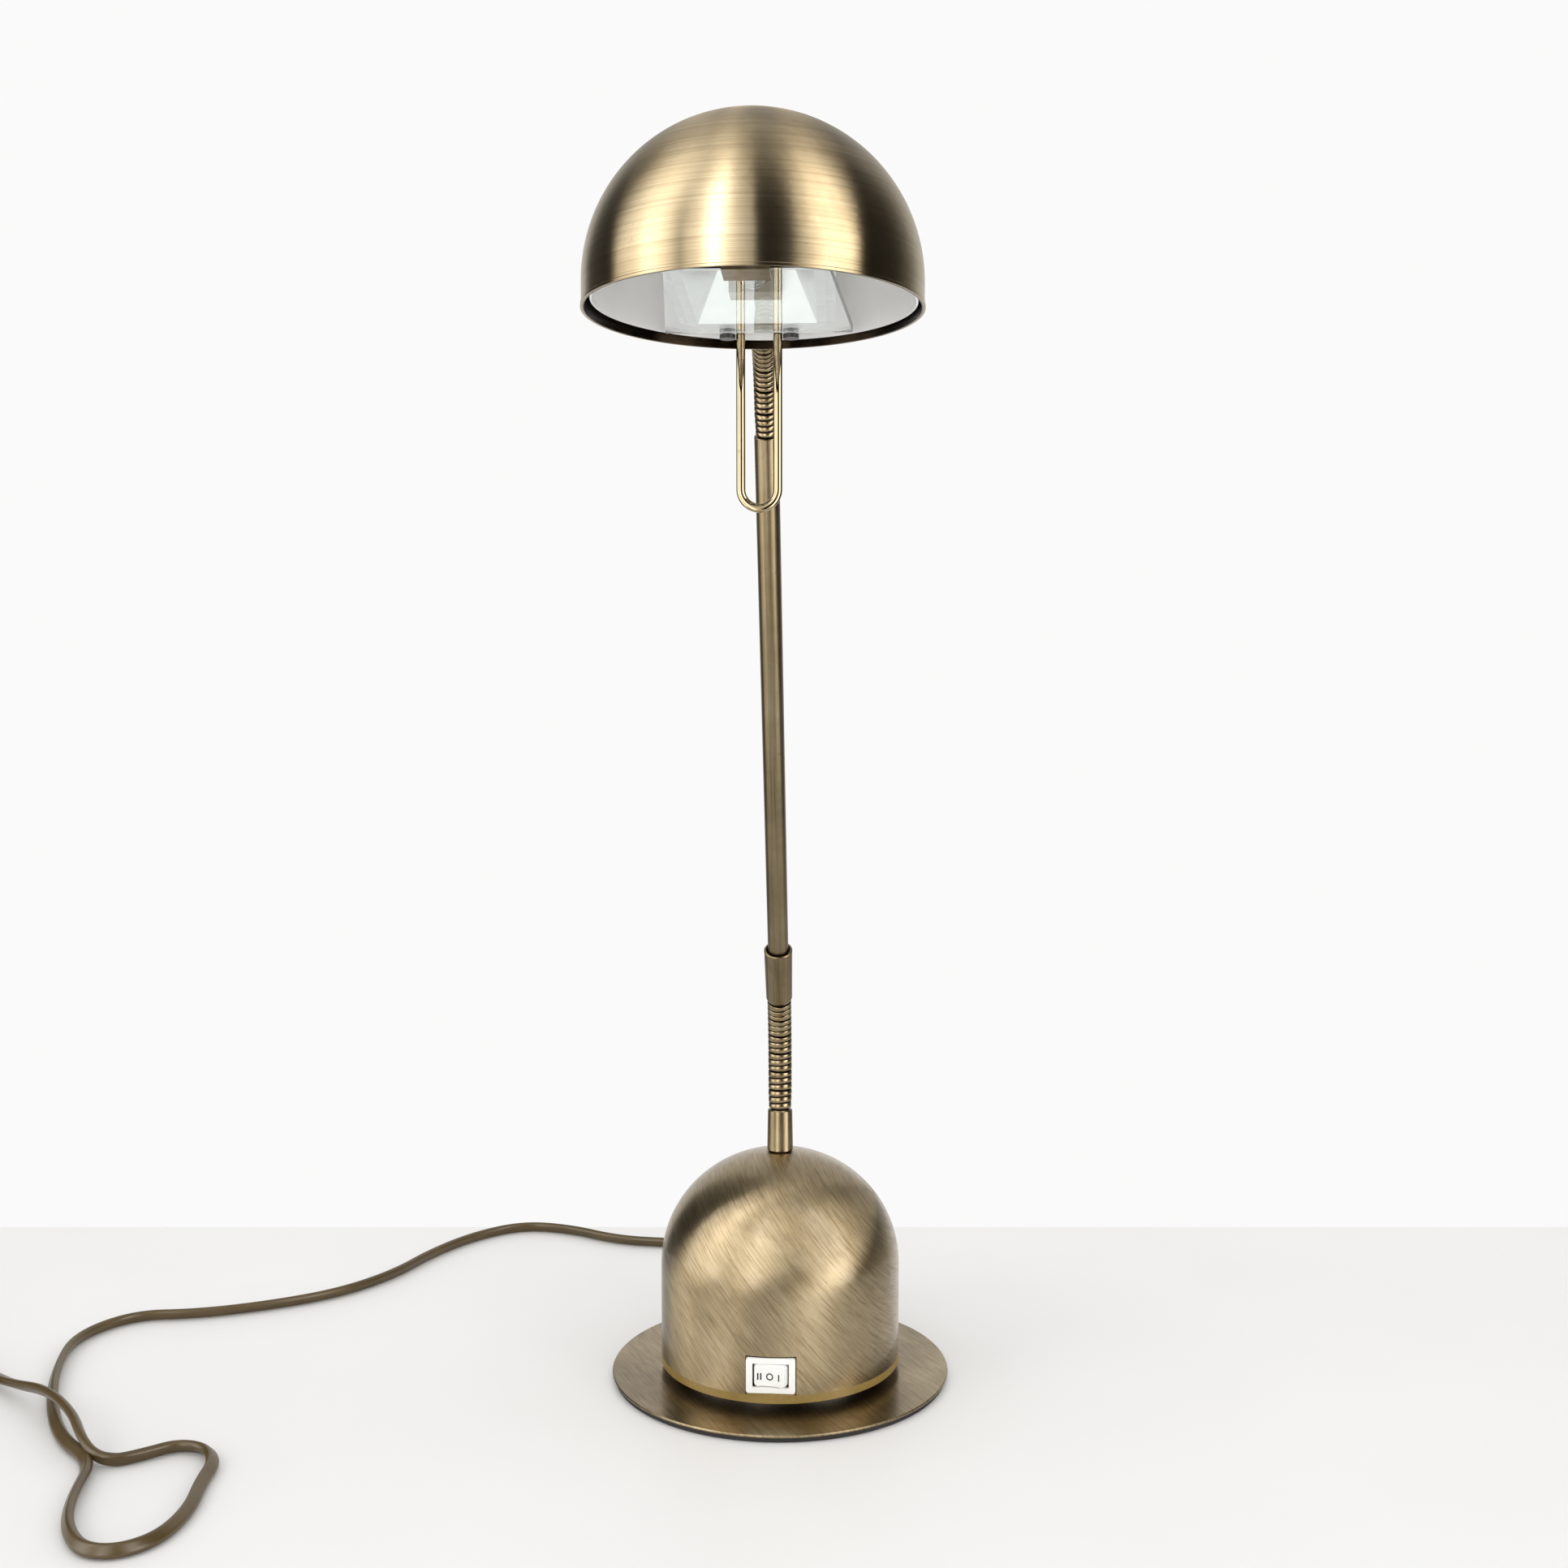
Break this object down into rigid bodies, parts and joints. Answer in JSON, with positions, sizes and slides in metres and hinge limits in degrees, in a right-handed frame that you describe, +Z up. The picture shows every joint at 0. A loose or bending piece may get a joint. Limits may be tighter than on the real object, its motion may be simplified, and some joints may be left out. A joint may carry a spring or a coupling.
{
  "type": "dome shade desk lamp",
  "caption": "Desk lamp with a round base disc, domed transformer housing with rocker switch, two ribbed flexible necks joined by a rod, and a small dome shade with a glass pane and wire handle.",
  "frame": {"origin": "bottom centre of the base disc", "axes": "+Z up, the arm reaches towards -Y, the lead leaves towards +Y and +X is to the right seen from the front"},
  "size_m": [0.5342, 0.4814, 0.4791],
  "materials": {
    "aged_brass": "patinated and brushed",
    "rod_brass": "patinated, brushed along",
    "neck_brass": "patinated ribbed strip",
    "olive_plastic": "moulded satin",
    "pad_rubber": "matt",
    "black_plastic": "moulded",
    "zinc_steel": "zinc plated",
    "core_steel": "laminated, varnished",
    "winding_tape": "wound copper under tape",
    "clear_terminal": "translucent",
    "white_plastic": "moulded",
    "lug_brass": "bare",
    "cord_olive": "flexible PVC",
    "tie_black": "flexible strap",
    "plug_olive": "moulded",
    "plug_nickel": "nickel plated",
    "white_enamel": "gloss enamel",
    "carrier_steel": "white enamel",
    "reflector_aluminium": "satin",
    "ceramic": "unglazed ceramic",
    "quartz": "clear",
    "pane_glass": "clear with teal edges",
    "bracket_brown": "dark patina",
    "clip_black": "matt",
    "handle_wire": "patinated wire"
  },
  "bodies": {
    "housing": {"bottom_plate": "olive_plastic", "housing_shell": "aged_brass", "transformer_core": "core_steel", "transformer_winding": "winding_tape", "transformer_screws": "zinc_steel", "terminal_block": "clear_terminal", "switch_bezel": "white_plastic", "switch_body": "black_plastic", "switch_lugs": "lug_brass", "cord_relief": "cord_olive", "neck_ferrule": "aged_brass", "ferrule_nut": "zinc_steel", "cord_run": "cord_olive", "cord_coil": "cord_olive", "coil_tie": "tie_black", "plug_body": "plug_olive", "plug_pins": "plug_nickel"},
    "base_disc": {"base_pad": "pad_rubber", "base_plate": "aged_brass", "swivel_ring": "black_plastic", "pivot_bolt": "zinc_steel", "pivot_washer": "zinc_steel", "pivot_nut": "zinc_steel"},
    "rocker_key": {"rocker": "white_plastic"},
    "lower_1": {"lower_neck_1": "neck_brass"},
    "lower_2": {"lower_neck_2": "neck_brass"},
    "lower_3": {"lower_neck_3": "neck_brass"},
    "lower_4": {"lower_neck_4": "neck_brass"},
    "lower_5": {"lower_neck_5": "neck_brass"},
    "lower_6": {"lower_neck_6": "neck_brass"},
    "arm": {"arm_sleeve": "rod_brass", "rod_plug": "black_plastic", "arm_rod": "rod_brass"},
    "upper_1": {"upper_neck_1": "neck_brass"},
    "upper_2": {"upper_neck_2": "neck_brass"},
    "upper_3": {"upper_neck_3": "neck_brass"},
    "upper_4": {"upper_neck_4": "neck_brass"},
    "upper_5": {"upper_neck_5": "neck_brass"},
    "upper_6": {"upper_neck_6": "neck_brass"},
    "shade": {"shade_shell": "aged_brass", "shade_liner": "white_enamel", "shade_fitting": "neck_brass", "fitting_spacer": "black_plastic", "fitting_nut": "zinc_steel", "lamp_carrier": "carrier_steel", "reflector_dish": "reflector_aluminium", "lamp_holder": "ceramic", "halogen_capsule": "quartz", "capsule_pins": "lug_brass", "glass_pane": "pane_glass", "front_bracket": "bracket_brown", "rear_clips": "clip_black", "handle_loop": "handle_wire", "handle_nuts": "zinc_steel"}
  },
  "joints": [
    {"name": "base_swivel", "type": "hinge", "parent": "housing", "child": "base_disc", "pos_m": [0, 0, 0], "axis": [0, 0, 1], "continuous": true},
    {"name": "rocker_tilt", "type": "hinge", "parent": "housing", "child": "rocker_key", "pos_m": [-0.00208, -0.05178, 0.0192], "axis": [0, 0, 1], "range_deg": [0, 20]},
    {"name": "lower_bend_1", "type": "hinge", "parent": "housing", "child": "lower_1", "pos_m": [0, 0, 0.12072], "axis": [1, 0, 0], "range_deg": [-8.5, 8.5]},
    {"name": "lower_side_1", "type": "hinge", "parent": "lower_1", "child": "lower_2", "pos_m": [0, -0.00005, 0.12954], "axis": [0, 0.9998, 0.0176], "range_deg": [-8.5, 8.5]},
    {"name": "lower_bend_2", "type": "hinge", "parent": "lower_2", "child": "lower_3", "pos_m": [0, -0.0004, 0.13835], "axis": [1, 0, 0], "range_deg": [-8.5, 8.5]},
    {"name": "lower_side_2", "type": "hinge", "parent": "lower_3", "child": "lower_4", "pos_m": [0, -0.00136, 0.14712], "axis": [0, 0.988, 0.1543], "range_deg": [-8.5, 8.5]},
    {"name": "lower_bend_3", "type": "hinge", "parent": "lower_4", "child": "lower_5", "pos_m": [0, -0.00321, 0.15574], "axis": [1, 0, 0], "range_deg": [-8.5, 8.5]},
    {"name": "lower_side_3", "type": "hinge", "parent": "lower_5", "child": "lower_6", "pos_m": [0, -0.00622, 0.16402], "axis": [0, 0.9092, 0.4164], "range_deg": [-8.5, 8.5]},
    {"name": "lower_bend_4", "type": "hinge", "parent": "lower_6", "child": "arm", "pos_m": [0, -0.01043, 0.17176], "axis": [1, 0, 0], "range_deg": [-8.5, 8.5]},
    {"name": "upper_bend_1", "type": "hinge", "parent": "arm", "child": "upper_1", "pos_m": [0, -0.14083, 0.39981], "axis": [1, 0, 0], "range_deg": [-8.5, 8.5]},
    {"name": "upper_side_1", "type": "hinge", "parent": "upper_1", "child": "upper_2", "pos_m": [0, -0.1452, 0.40745], "axis": [0, 0.8681, 0.4964], "range_deg": [-8.5, 8.5]},
    {"name": "upper_bend_2", "type": "hinge", "parent": "upper_2", "child": "upper_3", "pos_m": [0, -0.14996, 0.41484], "axis": [1, 0, 0], "range_deg": [-8.5, 8.5]},
    {"name": "upper_side_2", "type": "hinge", "parent": "upper_3", "child": "upper_4", "pos_m": [0, -0.15597, 0.42125], "axis": [0, 0.6622, 0.7493], "range_deg": [-8.5, 8.5]},
    {"name": "upper_bend_3", "type": "hinge", "parent": "upper_4", "child": "upper_5", "pos_m": [0, -0.16307, 0.42643], "axis": [1, 0, 0], "range_deg": [-8.5, 8.5]},
    {"name": "upper_side_3", "type": "hinge", "parent": "upper_5", "child": "upper_6", "pos_m": [0, -0.17101, 0.4302], "axis": [0, 0.3422, 0.9396], "range_deg": [-8.5, 8.5]},
    {"name": "upper_bend_4", "type": "hinge", "parent": "upper_6", "child": "shade", "pos_m": [0, -0.17951, 0.43242], "axis": [1, 0, 0], "range_deg": [-8.5, 8.5]}
  ],
  "couplings": [
    {"joint": "lower_bend_2", "follows": "lower_bend_1", "ratio": 1},
    {"joint": "lower_side_2", "follows": "lower_side_1", "ratio": 1},
    {"joint": "lower_bend_3", "follows": "lower_bend_1", "ratio": 1},
    {"joint": "lower_side_3", "follows": "lower_side_1", "ratio": 1},
    {"joint": "lower_bend_4", "follows": "lower_bend_1", "ratio": 1},
    {"joint": "upper_bend_2", "follows": "upper_bend_1", "ratio": 1},
    {"joint": "upper_side_2", "follows": "upper_side_1", "ratio": 1},
    {"joint": "upper_bend_3", "follows": "upper_bend_1", "ratio": 1},
    {"joint": "upper_side_3", "follows": "upper_side_1", "ratio": 1},
    {"joint": "upper_bend_4", "follows": "upper_bend_1", "ratio": 1}
  ]
}
